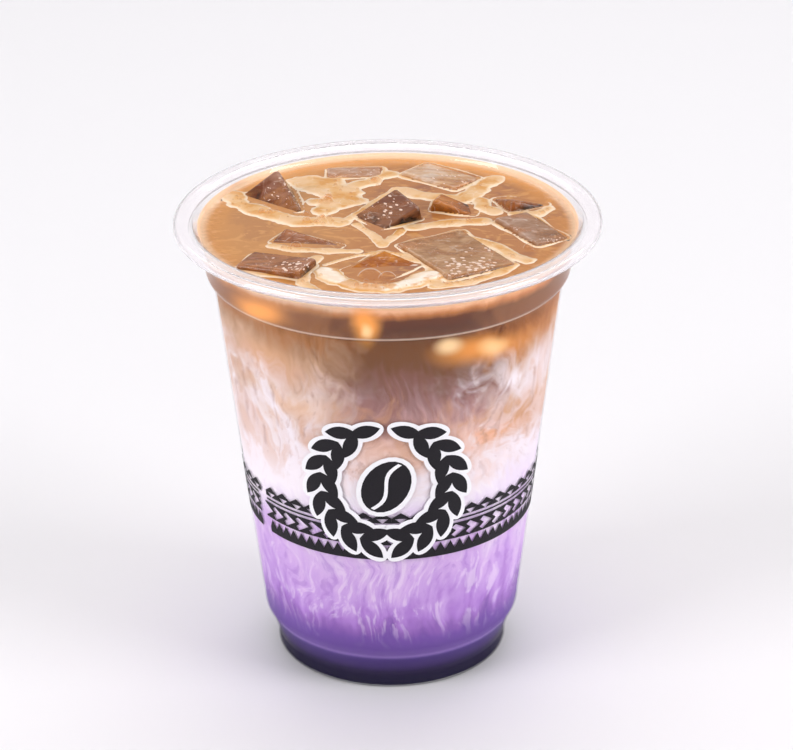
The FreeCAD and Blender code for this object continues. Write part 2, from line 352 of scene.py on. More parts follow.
puff = add("TexNoise", {0: bent, "Scale": 0.075, "Detail": 7.0, "Roughness": 0.6,
                        "Distortion": 0.7})
fine = add("TexNoise", {0: bent_long, "Scale": 0.5, "Detail": 5.0, "Roughness": 0.6})

# The height at which a spot takes its colour: its own, moved up and down by billows and
# trails. Each noise swings about one half, so half of its reach is taken off again.
over_foot = (height, 11.0, 24.0, 0.0, 1.0)
in_body = share_of(over_foot, (height, 92.0, 101.0, 1.0, 0.12))
in_ube = (over_foot, (height, 40.0, 56.0, 1.0, 0.0))
in_trails = share_of(*in_ube)
level = sum_of((height, 1.0), (billow, in_body, 24.0), (thread, in_body, 10.0),
               (trail, in_trails, 34.0), (in_body, -17.0), (in_trails, -17.0))
level = add("Math", {0: level, 1: coffee_level}, operation="DIVIDE")
spread = sum_of((across, 1.0), (wisp, 26.0), (1.0, -13.0))

# Colours by height in millimetres. The foot and the ube are alike all round; above them
# the coffee hangs lowest at the middle, and reaches the wall less at the left.
# The pale stop at 9.4 mm is a painted highlight along the neck crease.
UBE_COLOURS = (
    (0.0, "#15122d"), (3.0, "#1f1838"), (4.6, "#2b1f48"), (6.0, "#443269"), (8.6, "#513c80"),
    (9.4, "#9a7cc6"), (10.2, "#7c5fa8"), (12.0, "#6c4e9a"), (15.0, "#7a56a8"), (18.0, "#9468b7"),
    (22.0, "#b587d3"), (27.0, "#c9a2e0"), (33.0, "#d6b3e6"), (40.0, "#dcc2e8"), (47.0, "#ebdcf0"),
)
# In the three ramps below, the stops from 102 mm up are painted light: an amber glow where light
# comes through thin coffee under the flare, made pale to outshine the rim's shadow.
LEFT_COLOURS = (
    (53.0, "#f8f0f6"), (62.0, "#f5eaee"), (68.0, "#eadad9"), (73.0, "#e2c4b4"), (78.0, "#dcc0b0"),
    (82.0, "#d6b09a"), (86.0, "#cba488"), (90.0, "#b78e6e"), (94.0, "#ae774c"), (98.0, "#945e30"),
    (100.5, "#946039"), (102.0, "#bf8654"), (103.4, "#efd0b2"), (106.4, "#f6e4d4"),
)
MIDDLE_COLOURS = (
    (53.0, "#f6eef5"), (60.0, "#f4dedc"), (66.0, "#eccabe"), (71.0, "#d6aca0"), (75.0, "#b88e8a"),
    (79.0, "#9a716e"), (83.0, "#875c50"), (87.0, "#7c5238"), (91.0, "#7c5032"), (94.5, "#764526"),
    (98.0, "#5c2a08"), (100.6, "#6a3004"), (102.0, "#cc8444"), (103.2, "#fccb9e"),
    (106.4, "#f8d8b0"),
)
RIGHT_COLOURS = (
    (53.0, "#ece0ee"), (61.0, "#e0c8c4"), (67.0, "#d09c76"), (71.0, "#d4a888"), (76.0, "#dec8c2"),
    (81.0, "#dcc4bc"), (85.0, "#c99874"), (89.0, "#c07f48"), (93.0, "#a8693a"), (97.0, "#8e5832"),
    (100.6, "#865632"), (102.0, "#c88450"), (103.4, "#f2bc88"), (106.4, "#f6d8b8"),
)
ramps = []
for upper in (LEFT_COLOURS, MIDDLE_COLOURS, RIGHT_COLOURS):
    stops = [(at / coffee_level, code) for at, code in UBE_COLOURS + upper]
    ramps.append(add("ValToRGB", {0: level}, stops=stops))
at_left, at_middle, at_right = ramps
shade = add("Mix", {0: share_of((spread, 18.0, 30.0, 0.0, 1.0)), 6: at_middle, 7: at_right},
            out=2, data_type="RGBA")
shade = add("Mix", {0: share_of((spread, -3.0, -19.0, 0.0, 1.0)), 6: shade, 7: at_left},
            out=2, data_type="RGBA")

# Painted glows: where thin coffee lies in front of lit ice or milk, patches of painted light make
# it glow.
PAINTED_GLOWS = (
    # middle (x, z), half its width and height, colour and strength
    (-28.5, 98.4, 8.0, 4.6, "#f8ae5c", 1.0), (-27.0, 85.0, 8.0, 8.0, "#e0a87c", 0.5),
    (-4.5, 100.2, 4.4, 7.5, "#ffb050", 1.0), (-4.5, 98.6, 1.8, 2.6, "#ffe2a8", 0.9),
    (20.5, 90.4, 14.0, 4.8, "#f0a050", 0.9), (14.2, 92.0, 4.4, 2.8, "#ffdca8", 1.0),
    (23.5, 90.6, 4.4, 3.0, "#ffcf90", 1.0), (22.0, 67.5, 13.0, 5.0, "#efae84", 0.6),
    (-20.0, 76.0, 9.0, 4.0, "#ecc4a4", 0.5), (33.0, 81.0, 6.0, 9.0, "#eee2e6", 0.7),
    (31.0, 60.0, 9.0, 8.0, "#f3ebf3", 0.8), (-30.0, 68.0, 8.0, 9.0, "#f2e8ec", 0.7),
)
ragged = add("VectorMath", {0: bend, 1: (9.0, 9.0, 9.0), 2: spot}, operation="MULTIPLY_ADD")
for x, z, half_x, half_z, code, share in PAINTED_GLOWS:
    off = add("VectorMath", {0: ragged, 1: (x, 0.0, z)}, operation="SUBTRACT")
    off = add("VectorMath", {0: off, 1: (1 / half_x, 0.0, 1 / half_z)}, operation="MULTIPLY")
    off = add("VectorMath", {0: off}, out="Value", operation="LENGTH")
    shade = laid_over(shade, [(code, (off, 0.1, 1.0, share, 0.0), (back, -14.0, -4.0, 1.0, 0.0))])

# Puffs and smoke of milk, mostly at the sides, darker threads of coffee, pale and deep
# streaks in the ube, and a painted highlight: the pale line where the cup's ledge gathers the
# light.
ledge_highlight = 96.2
in_clouds = ((height, 50.0, 66.0, 0.0, 1.0), (height, 91.0, 77.0, 0.0, 1.0))
aside = add("Math", {0: spread}, operation="ABSOLUTE")
to_the_sides = (aside, 10.0, 26.0, 0.1, 1.0)
off_smoke = add("Math", {0: smoke, 1: 0.5}, operation="SUBTRACT")
off_smoke = add("Math", {0: off_smoke}, operation="ABSOLUTE")
off_ledge_highlight = add("Math", {0: height, 1: ledge_highlight}, operation="SUBTRACT")
off_ledge_highlight = add("Math", {0: off_ledge_highlight}, operation="ABSOLUTE")
shade = laid_over(shade, (
    ("#d4a07c", (puff, 0.5, 0.38, 0.0, 0.55), *in_clouds),
    ("#f4ecf1", (puff, 0.5, 0.64, 0.0, 1.0), *in_clouds, to_the_sides),
    ("#f0e4ea", (off_smoke, 0.1, 0.0, 0.0, 0.45), *in_clouds, to_the_sides),
    ("#a9796c", (fine, 0.53, 0.68, 0.0, 0.4), *in_clouds),
    ("#f0e0f4", (fine, 0.52, 0.64, 0.0, 0.55), *in_ube),
    ("#a878cc", (fine, 0.47, 0.36, 0.0, 0.45), *in_ube),
    # painted highlight along the cup's ledge
    ("#ffe9d2", (off_ledge_highlight, 0.5, 0.1, 0.0, 0.75)),
))
surface = add("BsdfPrincipled", {"Base Color": shade, "Roughness": 0.6, "Specular IOR Level": 0.0})
add("OutputMaterial", {"Surface": surface})

neck_inside, foot_inside = neck_radius - wall + reach, foot_radius - wall + reach
syrup = turned([
    (0.0, panel_top - reach, 0), (panel_radius + skew, panel_top - reach, 0),
    (stand_radius + skew, wall - reach, 0), (foot_flat, wall - reach, foot_corner - wall + reach),
    (foot_inside, foot_corner, 0), (foot_inside, foot_height, 0), (neck_inside, neck_height, 0),
    (0.0, neck_height, 0)])
piece("ube_syrup_layer", syrup, drink, ["ube_syrup"])
ube_milk = turned([
    (0.0, neck_height, 0), (neck_inside, neck_height, shoulder_bend),
    (waist_radius - wall + reach, waist_height, 0), (body_inside(milk_low) + reach, milk_low, 0),
    (0.0, milk_low, 0)])
piece("ube_milk_layer", ube_milk, drink, ["ube_milk"])
milk = turned([
    (0.0, milk_low, 0), (body_inside(milk_low) + reach, milk_low, 0),
    (body_inside(coffee_low) + reach, coffee_low, 0), (0.0, coffee_low, 0)])
piece("milk_layer", milk, drink, ["milk"])

# ------------------------------------------------------------------------ the coffee
# Coffee fills the cup from the milk up, climbs a little at the wall, and closes round
# every ice piece. Near the ice it is amber, a painted glow of the light that comes through it.
ICE_NAMES = ["ice_%d" % n for n in range(1, 12)]
bite = 0.12             # the coffee is drawn this far into the ice
level_slack, climb, wall_slack = 0.02, 0.2, 0.4     # margins that tell its faces apart
coffee = turned([
    (0.0, coffee_low, 0), (body_inside(coffee_low) + reach, coffee_low, 0),
    (ledge_radius - wall + reach, ledge_height, ledge_bend),
    (band_radius - wall + reach, band_low, 0), (band_radius - wall + reach, flare_low, -flare_bend),
    (flare_inside(coffee_level + 0.9) + reach, coffee_level + 0.9, -1.6),
    (flare_inside(coffee_level) - 1.3, coffee_level, 0),
    (flare_inside(coffee_level) - 2.0, coffee_level, 0), (0.0, coffee_level, 0)])


def ice_hull(name):
    """A merged copy of an ice node's mesh."""
    hull = bmesh.new()
    hull.from_mesh(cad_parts[name].data)
    bmesh.ops.remove_doubles(hull, verts=hull.verts, dist=1e-6)
    hull.normal_update()
    return hull


def all_ice(drawn_in=0.0):
    """All the ice pieces as one bmesh, their skins drawn in by a depth."""
    joined = bmesh.new()
    part = bpy.data.meshes.new("one_ice_piece")
    for name in ICE_NAMES:
        hull = ice_hull(name)
        for vert in hull.verts:
            vert.co -= vert.normal * drawn_in * MM
        hull.to_mesh(part)
        hull.free()
        joined.from_mesh(part)
    return joined


hollow = all_ice(bite)
mesh = bpy.data.meshes.new("ice_hollows")
hollow.to_mesh(mesh)
hollow.free()
cutter = bpy.data.objects.new("ice_hollows", mesh)
scene.collection.objects.link(cutter)

# Milky coffee seen from above: tan, lighter at the left with painted light, with darker
# clouds about 11 mm across, pale eddies of 8 mm, amber by the far wall, and cream where
# it climbs the wall in ripples of 2 mm.
coffee_mat, add = material("coffee_surface")
spot = place_in_mm()
across, back = (add("SeparateXYZ", {0: spot}, out=axis) for axis in "XY")
flat = add("VectorMath", {0: spot, 1: (1.0, 1.0, 0.0)}, operation="MULTIPLY")
radius = add("VectorMath", {0: flat}, out="Value", operation="LENGTH")
cloud = add("TexNoise", {0: spot, "Scale": 0.09, "Detail": 6.0, "Distortion": 0.6})
drawn_out = add("VectorMath", {0: spot, 1: (1.0, 1.6, 1.0)}, operation="MULTIPLY")
eddy = add("TexNoise", {0: drawn_out, "Scale": 0.13, "Detail": 5.0, "Distortion": 2.5})
shade = laid_over(colour("#b47542"), (
    # painted light: the coffee lighter towards the left
    ("#c4874c", (sum_of((across, -1.0), (cloud, 30.0)), 14.0, 34.0, 0.0, 1.0)),
    ("#8f5a42", (cloud, 0.5, 0.64, 0.0, 1.0), (across, -30.0, 20.0, 0.25, 0.8)),
    ("#d79c5c", (eddy, 0.52, 0.66, 0.0, 0.6)),
    ("#d98f3c", (radius, 34.0, 41.0, 0.0, 1.0), (back, 5.0, 30.0, 0.35, 1.0)),
    ("#f0c9a4", (radius, 40.5, 43.2, 0.0, 1.0)),
))
ripple = add("TexNoise", {0: spot, "Scale": 0.5, "Detail": 2.0})
near_wall = share_of((radius, 36.0, 42.0, 0.06, 0.55))
bump = add("Bump", {"Height": ripple, "Strength": near_wall, "Distance": 0.6 * MM})
surface = add("BsdfPrincipled", {"Base Color": shade, "Roughness": 0.14, "IOR": 1.34,
                                 "Normal": bump})
add("OutputMaterial", {"Surface": surface})

# Coffee as seen through the ice, from the hollow's foot (0) up to the surface (1), with
# painted shade and glow: black at the foot, amber glow near the surface, tan under pale
# ice, and nearly black painted shade under dark ice, where light has far to go. Clouds
# of 8 mm and streaks of 1 mm blur its levels.
PAINTED_HOLLOW_SHADES = (
    ("coffee_under_thin_ice", ((0.0, "#000000"), (0.0, "#80685c"), (0.35, "#8e7264"),
                               (0.6, "#a07c62"), (0.84, "#a8763e"), (1.0, "#c79450"))),
    ("coffee_under_thick_ice", ((0.0, "#000000"), (0.0, "#100603"), (0.55, "#241009"),
                                (0.78, "#40200f"), (0.9, "#6e3a12"), (1.0, "#94582a"))),
)
coffee_finishes = [coffee_mat]
for name, stops in PAINTED_HOLLOW_SHADES:
    made, add = material(name)
    spot = place_in_mm()
    height = add("SeparateXYZ", {0: spot}, out="Z")
    cloud = add("TexNoise", {0: spot, "Scale": 0.12, "Detail": 3.0})
    drawn_out = add("VectorMath", {0: spot, 1: (0.25, 1.0, 0.5)}, operation="MULTIPLY")
    streak = add("TexNoise", {0: drawn_out, "Scale": 0.8, "Detail": 4.0})
    rise = sum_of((height, 1.0), (cloud, 8.0), (streak, 4.0), (coffee_level + 6.0, -1.0))
    shade = add("ValToRGB", {0: share_of((rise, -11.0, 1.0, 0.0, 1.0))}, stops=stops)
    surface = add("BsdfPrincipled", {"Base Color": shade, "Roughness": 0.4, "IOR": 1.34})
    add("OutputMaterial", {"Surface": surface})
    coffee_finishes.append(made)

# The ice is cut out of the coffee, and each face of it takes the finish of what it meets:
# the cup's wall, the open surface, or the painted shade of a hollow under pale or dark ice.
# ice pieces whose hollows take the darker painted shade
ICE_OVER_DEEP_PAINTED_SHADE = ("ice_1", "ice_4", "ice_5", "ice_9")
shell = piece("coffee_layer", coffee, drink, ["coffee"])
for finish in coffee_finishes:
    shell.data.materials.append(finish)
cut = shell.modifiers.new("ice", "BOOLEAN")
cut.operation, cut.solver, cut.object = "DIFFERENCE", "EXACT", cutter
cut_shell = shell.evaluated_get(bpy.context.evaluated_depsgraph_get())
cut_mesh = bpy.data.meshes.new_from_object(cut_shell)
shell.modifiers.clear()
bpy.data.objects.remove(cutter)
ice_trees = {name: BVHTree.FromBMesh(ice_hull(name)) for name in ICE_NAMES}
bm = bmesh.new()
bm.from_mesh(cut_mesh)
bmesh.ops.remove_doubles(bm, verts=bm.verts, dist=1e-7)
bmesh.ops.recalc_face_normals(bm, faces=bm.faces)
if bm.calc_volume(signed=True) < 0:
    bmesh.ops.reverse_faces(bm, faces=bm.faces)
for face in bm.faces:
    at = face.calc_center_median()
    nearest = min(ICE_NAMES, key=lambda name: ice_trees[name].find_nearest(at)[3])
    at_ice = ice_trees[nearest].find_nearest(at)[3] < 2 * bite * MM
    if at_ice and at.z < (coffee_level - level_slack) * MM:
        face.material_index = 3 if nearest in ICE_OVER_DEEP_PAINTED_SHADE else 2
    else:
        wall_side = math.hypot(at.x, at.y) > (body_inside(at.z / MM) - wall_slack) * MM
        face.material_index = 0 if wall_side and at.z < (coffee_level - climb) * MM else 1
bm.to_mesh(shell.data)
bm.free()
smoothed(shell.data)
for face in shell.data.polygons:
    if face.normal.z > 0.9999:
        face.use_smooth = False

# --------------------------------------------------------------------------- the ice
# Blocks of frozen water from a tray, afloat in the coffee and melted a little: wet, with
# faint uneven faces, clear at the edges and clouded inside by trapped air and coffee.
longest_edge, melt_depth = 1.4, 0.08
ICE_CLOUDS_AND_PAINTED_SHADE = {
    # colours of the cloud at the foot, half way and at the top, dark with painted shade
    # below and pale with painted light above; how far it hides what is below it; and how
    # strongly the wet face mirrors
    "ice_1": (("#120504", "#6e3212", "#a87c68"), 0.97, 0.3),
    "ice_2": (("#8a4c1c", "#b07a50", "#b8937c"), 0.85, 0.4),
    "ice_3": (("#a86424", "#d0a070", "#e0cab6"), 0.9, 0.5),
    "ice_4": (("#34160a", "#84502f", "#6c381f"), 0.97, 0.25),
    "ice_5": (("#4a1c04", "#b0641c", "#d49048"), 0.95, 0.3),
    "ice_6": (("#3a160a", "#94521f", "#906a5a"), 0.94, 0.35),
    "ice_7": (("#5c2c0a", "#94643e", "#b08e78"), 0.9, 0.45),
    "ice_8": (("#4a2408", "#9c6a3a", "#c2966c"), 0.88, 0.4),
    "ice_9": (("#100504", "#7a3c10", "#a8622a"), 0.94, 0.3),
    "ice_10": (("#4a1e06", "#7c4220", "#a67258"), 0.92, 0.35),
    "ice_11": (("#6a2c00", "#9e5206", "#cc7e18"), 1.35, 0.06),
}
for name in ICE_NAMES:
    hull = ice_hull(name)
    for _ in range(5):
        long_edges = [edge for edge in hull.edges if edge.calc_length() > longest_edge * MM]
        if not long_edges:
            break
        bmesh.ops.subdivide_edges(hull, edges=long_edges, cuts=1)
        bmesh.ops.triangulate(hull, faces=hull.faces)
    hull.normal_update()
    for vert in hull.verts:
        melt = 0.5 + 0.5 * noise.noise(vert.co * 220.0)
        vert.co -= vert.normal * melt_depth * MM * melt
    top = max(vert.co.z for vert in hull.verts) / MM - coffee_level

    # Wet ice: fog about 4 mm across lets the glass-clear ice show between its clouds. The
    # cloud carries painted light and shade: palest on top and on faces turned up or left,
    # darkest and at last black low down. Its edges are pale with frost and a painted
    # highlight, and fine cracks lie about 6 mm apart.
    codes, cloudy, wet = ICE_CLOUDS_AND_PAINTED_SHADE[name]
    ice, add = material("wet_ice_" + name[4:])
    spot = place_in_mm()
    height = add("SeparateXYZ", {0: spot}, out="Z")
    facing = add("NewGeometry", out="Normal")
    facing_up = add("SeparateXYZ", {0: facing}, out="Z")
    sideways = add("SeparateXYZ", {0: facing}, out="X")
    edge = add("NewGeometry", out="Pointiness")
    wide = add("VectorMath", {0: spot, 1: (0.4, 1.0, 1.0)}, operation="MULTIPLY")
    fog = add("TexNoise", {0: wide, "Scale": 0.25, "Detail": 4.0, "Distortion": 0.5})
    least, most = min(cloudy - 0.4, 1.0), min(cloudy, 1.0)
    clouded = add("MapRange", {0: fog, 1: 0.4, 2: 0.58, 3: least, 4: most})
    vein = add("TexNoise", {0: spot, "Scale": 0.22, "Detail": 4.0, "Distortion": 0.8})
    drawn_out = add("VectorMath", {0: spot, 1: (0.3, 1.2, 1.0)}, operation="MULTIPLY")
    streak = add("TexNoise", {0: drawn_out, "Scale": 0.6, "Detail": 4.0})
    rise = add("MapRange", {0: height, 1: coffee_level - 0.5, 2: coffee_level + max(top, 0.8)})
    # painted light and shade: the tone rises with height and on faces turned up, and falls on faces
    # turned right
    painted_light_tone = sum_of((vein, 1.5), (streak, 0.5), (share_of((facing_up, 0.5, 0.92, 0.0, 1.0)), 0.2),
                  (rise, 0.7), (sideways, -0.3), (1.0, -1.0))
    bow = add("TexNoise", {0: spot, "Scale": 0.2}, out=1)
    bowed = add("VectorMath", {0: bow, 1: (7.0, 7.0, 7.0), 2: spot}, operation="MULTIPLY_ADD")
    crack = add("TexVoronoi", {0: bowed, "Scale": 0.16}, feature="DISTANCE_TO_EDGE")
    cloud = add("ValToRGB", {0: painted_light_tone}, stops=list(zip((0.0, 0.0, 0.5, 1.0), ("#000000", *codes))))
    cloud = laid_over(cloud, (
        # painted highlight, with frost, on the ice's edges
        ("#ead6c6", (edge, 0.51, 0.57, 0.0, 1.0), (vein, 0.4, 0.6, 0.2, 0.8)),
        ("#ecdccf", (crack, 0.035, 0.0, 0.0, 1.0), (streak, 0.45, 0.6, 0.0, 0.35)),
    ))
    dent = add("TexNoise", {0: spot, "Scale": 0.4, "Detail": 4.0})
    bump = add("Bump", {"Height": dent, "Strength": 0.7, "Distance": 0.5 * MM})
    clear = add("BsdfGlass", {"Color": colour("#fbf8f5"), "Roughness": 0.02, "IOR": 1.31,
                              "Normal": bump})
    fogged = add("BsdfPrincipled", {"Base Color": cloud, "Roughness": 0.1,
                                    "Specular IOR Level": wet, "Normal": bump})
    lamps_shine_through(add("MixShader", {0: clouded, 1: clear, 2: fogged}), "#efe9e4")
    piece(name + "_melted", hull, ice, [name], crease=60.0)

# Air bubbles frozen into the ice show as pale glossy specks at its wet faces, drawn out
# along the way the ice grew.
SPECKS = (
    # ice piece, how many, the part of its top they keep to as (x, y, reach), and length
    ("ice_4", 26, (-1.0, 4.0, 7.0), 0.55), ("ice_1", 22, (-21.0, 12.0, 6.0), 0.4),
    ("ice_1", 14, (-26.0, 17.0, 4.0), 0.35), ("ice_8", 70, (18.0, -27.0, 8.0), 0.6),
    ("ice_8", 14, (24.0, -16.0, 6.0), 0.5), ("ice_10", 34, (-21.0, -27.0, 7.0), 0.5),
    ("ice_7", 18, (38.0, -11.0, 4.0), 0.5), ("ice_3", 10, (14.0, 28.0, 8.0), 0.5),
    ("ice_2", 10, (-7.0, 32.0, 6.0), 0.4),
)
luck = random.Random(5)
specks = bmesh.new()
for name, count, (near_x, near_y, far), length in SPECKS:
    hull = ice_hull(name)
    tree = BVHTree.FromBMesh(hull)
    hull.free()
    for _ in range(count):
        x, y = (luck.gauss(at, far * 0.4) for at in (near_x, near_y))
        hit, normal, _, _ = tree.ray_cast(Vector((x, y, 125.0)) * MM, Vector((0, 0, -1)))
        if hit is None or hit.z < (coffee_level + 0.15) * MM:
            continue
        size = length * (0.35 + 0.65 * luck.random())
        turn = normal.to_track_quat("Z", "Y").to_matrix().to_4x4()
        bmesh.ops.create_icosphere(
            specks, subdivisions=2, radius=size * MM,
            matrix=Matrix.Translation(hit) @ turn @ Matrix.Diagonal((1.0, 0.5, 0.28, 1.0)))

# Frozen air: pale, and glossy enough to glint through the wet.
speck_mat, add = material("frozen_air")
surface = add("BsdfPrincipled", {"Base Color": colour("#efd6c6"), "Roughness": 0.12, "IOR": 1.31})
add("OutputMaterial", {"Surface": surface})
piece("ice_air_bubbles", specks, speck_mat)

# ------------------------------------------------------------------------- the crema
# Coffee foam that has gathered along the ice: cream where it is thick, amber where it
# thins out, and torn into strips. It sits on the coffee and climbs a little up the ice.
FOAM = (
    # each strip: its points as (x, y), half its width, and its height over the coffee
    ([(-36, 18), (-34, 13), (-29, 8), (-24, 4), (-18, 2), (-12, 2)], 3.2, 0.5),
    ([(-19, 27), (-15, 26), (-11, 21), (-9, 15), (-14, 14)], 4.4, 0.5),
    ([(-17, 23), (-13, 17), (-15, 9)], 3.0, 0.5), ([(-8, 24), (-4, 27), (0, 31)], 2.6, 0.4),
    ([(-9, 4), (-4, 12), (2, 22)], 1.3, 0.4), ([(-7, 0), (-4, -5), (-1, -12), (3, -4)], 1.3, 0.55),
    ([(6, -2), (11, 0), (17, 1), (22, 2)], 2.3, 0.42),
    ([(4, 20), (11, 17), (17, 15), (20, 19), (25, 27)], 2.7, 0.45),
    ([(22, 14), (22, 10), (25, 7)], 2.2, 0.45), ([(29, 6), (35, 6), (37, 9)], 1.8, 0.35),
    ([(19, -9), (24, -13), (28, -19), (31, -22)], 2.0, 0.4),
    ([(-26, -12), (-21, -14), (-14, -15), (-7, -15.5)], 1.5, 0.4),
    ([(-16, -19), (-18, -26), (-19, -33), (-16, -37)], 1.7, 0.45),
    ([(-14, -27), (-11, -33), (-7, -35.5), (-1, -36.5), (5, -34), (10, -30)], 2.9, 0.95),
    ([(4, -20), (9, -22), (10.5, -28), (10, -34)], 1.8, 0.45),
    ([(10, -36), (18, -33.5), (24, -29), (28, -24)], 1.4, 0.45),
    ([(-14, -23), (-7, -18), (-1, -16), (6, -19)], 0.9, 0.4),
)
foam_spacing, foam_sunk, foam_film, foam_most = 0.35, 0.3, 0.55, 0.9
tears, grain, ice_reach = 0.16, 1.9, 2.5    # the tears are about 6 mm apart


def along(points, spacing):
    """Points at an even spacing along a run of straight stretches."""
    found = []
    for (x, y), (next_x, next_y) in zip(points, points[1:]):
        count = max(1, round(math.hypot(next_x - x, next_y - y) / spacing))
        found += [(x + (next_x - x) * n / count, y + (next_y - y) * n / count)
                  for n in range(count)]
    return found + [points[-1]]


ice_tree = BVHTree.FromBMesh(all_ice())


def foam_height(x, y):
    """Height of the crema over the coffee; below zero there is none."""
    place = Vector((x, y, 0.0))
    ragged = noise.fractal(place * tears, 1.0, 2.0, 3)
    found = -1.0
    for trail, half, rise in foam_trails:
        near = min(math.hypot(x - at_x, y - at_y) for at_x, at_y in trail)
        if near < half * 1.8:
            found = max(found, rise * math.tanh(2.6 * (1.0 - near / half + 0.5 * ragged)))
    # Crema also rims the ice: it runs a little way into ice that stands above the coffee,
    # so that no gap shows there, and keeps off ice that lies just under the surface.
    near_ice = ice_tree.find_nearest((x * MM, y * MM, coffee_level * MM))[3] / MM
    over = ice_tree.ray_cast(Vector((x, y, 130.0)) * MM, Vector((0, 0, -1)))[0]
    if over is not None and over.z > (coffee_level + 0.3) * MM:
        near_ice = 0.0 if near_ice < 0.6 else ice_reach
    elif over is not None and over.z > (coffee_level - 1.2) * MM:
        near_ice = ice_reach
    rim_of_ice = -1.0
    if near_ice < ice_reach:
        rim_of_ice = 0.6 * math.exp(-near_ice ** 2) - 0.26 + 0.3 * noise.noise(place * tears)
    return min(foam_most, max(found, rim_of_ice)) + 0.03 * noise.noise(place * grain)


foam_trails = [(along(points, 1.0), half, rise) for points, half, rise in FOAM]
foam = bmesh.new()
foam_reach = flare_inside(coffee_level) - 0.3
bare_below, foam_dip = -0.5, 0.2        # the foam's edge dips under the coffee and ends
cells = round(2 * foam_reach / foam_spacing)
bmesh.ops.create_grid(foam, x_segments=cells, y_segments=cells, size=foam_reach * MM,
                      matrix=Matrix.Translation((0, 0, coffee_level * MM)))
bare = []
for vert in foam.verts:
    x, y = vert.co.x / MM, vert.co.y / MM
    rise = foam_height(x, y) if math.hypot(x, y) < foam_reach else -1.0
    if rise < bare_below:
        bare.append(vert)
    vert.co.z += max(rise * foam_film, -foam_dip) * MM
bmesh.ops.delete(foam, geom=bare, context="VERTS")
loose = [vert for vert in foam.verts if not vert.link_faces]
bmesh.ops.delete(foam, geom=loose, context="VERTS")
under = bmesh.ops.extrude_face_region(foam, geom=foam.faces[:])["geom"]
for vert in under:
    if isinstance(vert, bmesh.types.BMVert):
        vert.co.z = (coffee_level - foam_sunk) * MM
bmesh.ops.recalc_face_normals(foam, faces=foam.faces)
if foam.calc_volume(signed=True) < 0:
    bmesh.ops.reverse_faces(foam, faces=foam.faces)

# Coffee foam: tan at its film edge, amber where thin and cream where thick, with a fine
# froth in its gloss, a loose net of pale lines about 4 mm wide, and pale and amber areas.
crema, add = material("coffee_foam")
spot = place_in_mm()
height = add("SeparateXYZ", {0: spot}, out="Z")
mottle = add("TexNoise", {0: spot, "Scale": 0.3, "Detail": 4.0})
froth = add("TexVoronoi", {0: spot, "Scale": 2.6}, feature="DISTANCE_TO_EDGE")
pale = add("TexNoise", {0: spot, "Scale": 0.18, "Detail": 4.0})
wander = add("TexNoise", {0: spot, "Scale": 0.3, "Detail": 2.0}, out=1)
loose = add("VectorMath", {0: wander, 1: (5.0, 5.0, 5.0), 2: spot}, operation="MULTIPLY_ADD")
flat = add("VectorMath", {0: loose, 1: (1.0, 1.0, 0.0)}, operation="MULTIPLY")
net = add("TexVoronoi", {0: flat, "Scale": 0.28}, feature="DISTANCE_TO_EDGE")
thick = sum_of((height, 1 / foam_film), (mottle, 0.16), (coffee_level, -1 / foam_film),
               (0.08, -1.0))
# the first stop is black: painted shade where the film dips to the coffee
shade = add("ValToRGB", {0: thick}, stops=(
    (0.0, "#000000"), (0.0, "#d9b08c"), (0.05, "#f2dac0"), (0.2, "#f0d2ae"), (0.34, "#e4b47c"),
    (0.5, "#e2ae70"), (0.62, "#efcca0"), (0.8, "#f8e6d2"), (1.0, "#fdf5ec")))
in_patches = (mottle, 0.42, 0.56, 0.0, 1.0)
shade = laid_over(shade, (
    ("#f6dfc4", (net, 0.05, 0.015, 0.0, 0.35), in_patches),
    ("#edc8a2", (pale, 0.47, 0.62, 0.0, 0.5)),
    ("#d6923e", (pale, 0.5, 0.38, 0.0, 0.8), (thick, 0.25, 0.4, 0.0, 1.0)),
))
lines = share_of((net, 0.05, 0.015, 0.0, 1.0), in_patches)
relief = sum_of((froth, 0.2), (lines, 0.2), (mottle, 0.3))
bump = add("Bump", {"Height": relief, "Strength": 0.35, "Distance": 0.3 * MM})
surface = add("BsdfPrincipled", {"Base Color": shade, "Roughness": 0.18, "IOR": 1.34,
                                 "Normal": bump})
add("OutputMaterial", {"Surface": surface})
piece("crema_foam", foam, crema, crease=70.0)

# ------------------------------------------------------------------------ the bubbles
# Bubbles of coffee film, a few large and many small, caught in the crema and against
# the ice. Each is a thin clear dome that shows its rim and a glint.
BUBBLES = (
    # each cluster: middle as (x, y), its spread, how many, and the largest radius
    (-27.5, 7.5, 2.0, 5, 1.0), (-22.0, 6.0, 2.0, 4, 0.9), (-15.5, 2.5, 4.5, 26, 0.7),
    (-14.5, 15.0, 1.5, 5, 1.2), (-3.0, 28.0, 1.2, 4, 1.1), (-21.0, -12.5, 2.5, 12, 0.8),
    (-18.5, -30.0, 3.0, 10, 0.7), (0.0, -36.0, 6.0, 30, 0.8), (-10.0, 22.0, 4.0, 10, 0.6),
    (15.0, 14.0, 4.5, 14, 0.6), (22.0, 24.0, 4.0, 12, 0.6), (17.0, 3.0, 4.0, 14, 0.6),
    (24.0, 10.0, 2.0, 8, 0.6), (36.0, 6.0, 3.0, 10, 0.7), (29.0, -16.0, 4.0, 14, 0.6),
    (14.0, -34.5, 3.0, 12, 0.7), (-4.0, -2.0, 3.0, 10, 0.5), (-33.0, 14.0, 4.0, 12, 0.6),
    (0.0, 22.0, 4.0, 10, 0.5), (4.0, -20.0, 4.0, 10, 0.5), (38.0, -8.0, 3.0, 10, 0.6),
)
